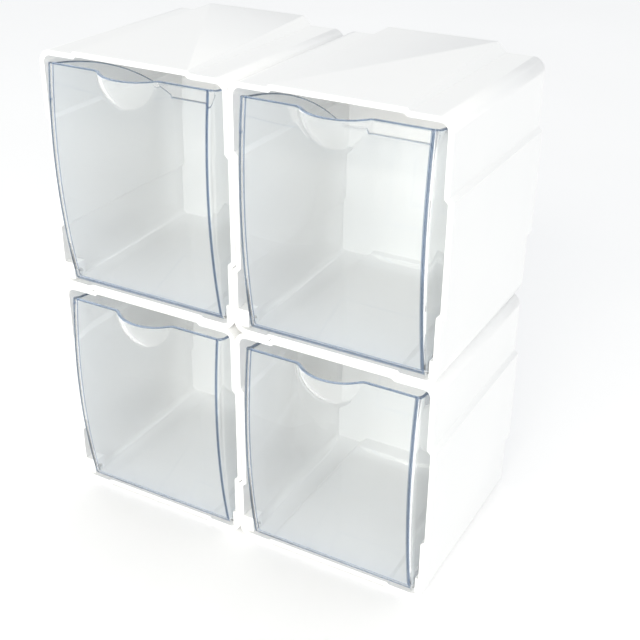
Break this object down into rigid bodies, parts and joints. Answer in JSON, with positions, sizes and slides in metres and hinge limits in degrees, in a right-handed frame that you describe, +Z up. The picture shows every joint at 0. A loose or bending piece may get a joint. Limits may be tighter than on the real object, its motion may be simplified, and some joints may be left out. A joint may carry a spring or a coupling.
{
  "type": "desk organizer",
  "caption": "Stack of interlocking white open-front boxes, each holding a clear bin with a bowed front and finger lip that tilts out at the bottom.",
  "frame": {"origin": "middle of the stack's outline seen from above, on the plane it stands on", "axes": "+Z up, +Y from the open front towards the closed back, +X to the right seen from the front"},
  "size_m": [0.2432, 0.1378, 0.2843],
  "materials": {
    "white_housing": "satin white moulded plastic",
    "clear_bin": "clear moulded styrene with a faint blue tint"
  },
  "bodies": {
    "housing_lower_left": {"housing_lower_left": "white_housing"},
    "housing_lower_right": {"housing_lower_right": "white_housing"},
    "housing_upper_left": {"housing_upper_left": "white_housing"},
    "housing_upper_right": {"housing_upper_right": "white_housing"},
    "bin_lower_left": {"bin_lower_left": "clear_bin"},
    "bin_lower_right": {"bin_lower_right": "clear_bin"},
    "bin_upper_left": {"bin_upper_left": "clear_bin"},
    "bin_upper_right": {"bin_upper_right": "clear_bin"}
  },
  "joints": [
    {"name": "tilt_lower_left", "type": "hinge", "parent": "housing_lower_left", "child": "bin_lower_left", "pos_m": [-0.06143, -0.05191, 0.009], "axis": [1, 0, 0], "range_deg": [0, 43]},
    {"name": "tilt_lower_right", "type": "hinge", "parent": "housing_lower_right", "child": "bin_lower_right", "pos_m": [0.05922, -0.05191, 0.009], "axis": [1, 0, 0], "range_deg": [0, 43]},
    {"name": "tilt_upper_left", "type": "hinge", "parent": "housing_upper_left", "child": "bin_upper_left", "pos_m": [-0.06143, -0.05191, 0.1487], "axis": [1, 0, 0], "range_deg": [0, 43]},
    {"name": "tilt_upper_right", "type": "hinge", "parent": "housing_upper_right", "child": "bin_upper_right", "pos_m": [0.05922, -0.05191, 0.1487], "axis": [1, 0, 0], "range_deg": [0, 43]},
    {"name": "slide_lower_right", "type": "slide", "parent": "housing_lower_left", "child": "housing_lower_right", "axis": [0, -1, 0], "range_m": [0, 0.13]},
    {"name": "slide_upper_left", "type": "slide", "parent": "housing_lower_left", "child": "housing_upper_left", "axis": [0, -1, 0], "range_m": [0, 0.13]},
    {"name": "slide_upper_right", "type": "slide", "parent": "housing_lower_right", "child": "housing_upper_right", "axis": [0, -1, 0], "range_m": [0, 0.13]}
  ]
}
